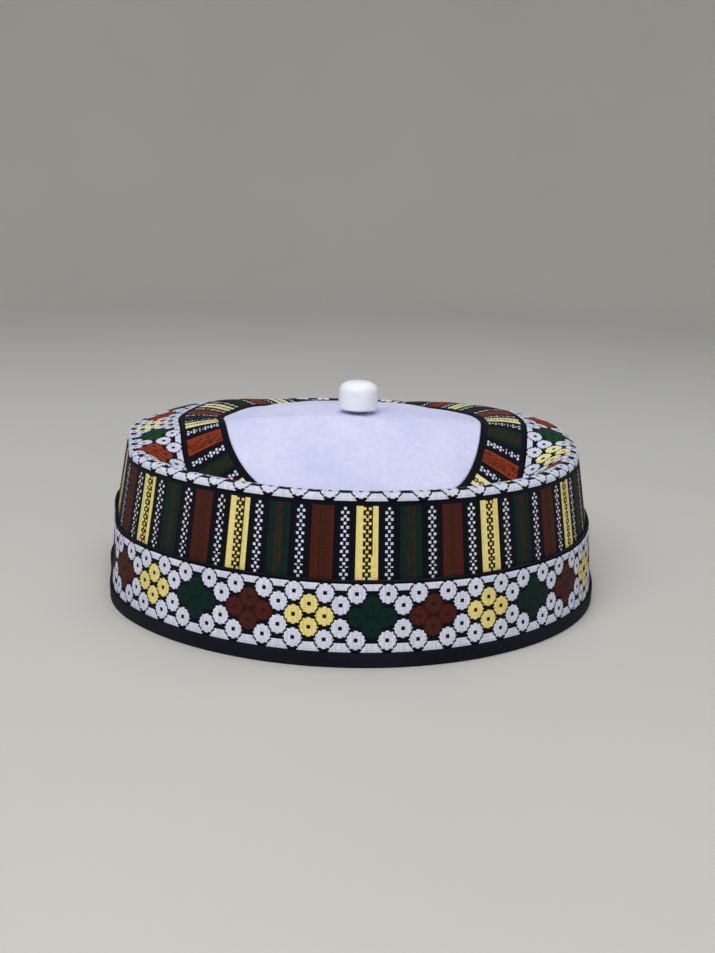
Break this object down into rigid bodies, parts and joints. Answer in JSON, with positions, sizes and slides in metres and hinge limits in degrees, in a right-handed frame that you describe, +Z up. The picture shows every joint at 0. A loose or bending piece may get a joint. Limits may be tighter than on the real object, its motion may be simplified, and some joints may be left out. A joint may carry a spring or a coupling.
{
  "type": "brimless skullcap",
  "caption": "Low round brimless cap with a leaning two-band side wall, a rolled rim, a crown of rings pressed in at the front and a drum-shaped top button.",
  "frame": {"origin": "middle of the hem, on the surface that the cap rests on", "axes": "+Z up along the cap's axis, -Y towards the front, where the crown is pressed in, +X to the right as seen from the front"},
  "size_m": [0.2016, 0.2016, 0.0789],
  "materials": {
    "navy_binding": "matt black-navy cotton tape",
    "flower_weave": "woven rosettes in white, maroon, yellow and green thread on black",
    "black_braid": "matt black thread",
    "stripe_weave": "woven bars in yellow, green and maroon thread on black",
    "white_cloth": "plain white cotton",
    "button_white": "white, softly glossy",
    "shank_thread": "wound thread"
  },
  "bodies": {
    "root": {"hem_binding": "navy_binding", "flower_band": "flower_weave", "seam_braid": "black_braid", "stripe_band": "stripe_weave", "crown_flower_ring": "flower_weave", "crown_stripe_ring": "stripe_weave", "crown_disc": "white_cloth", "button_shank": "shank_thread", "button": "button_white"}
  },
  "joints": []
}
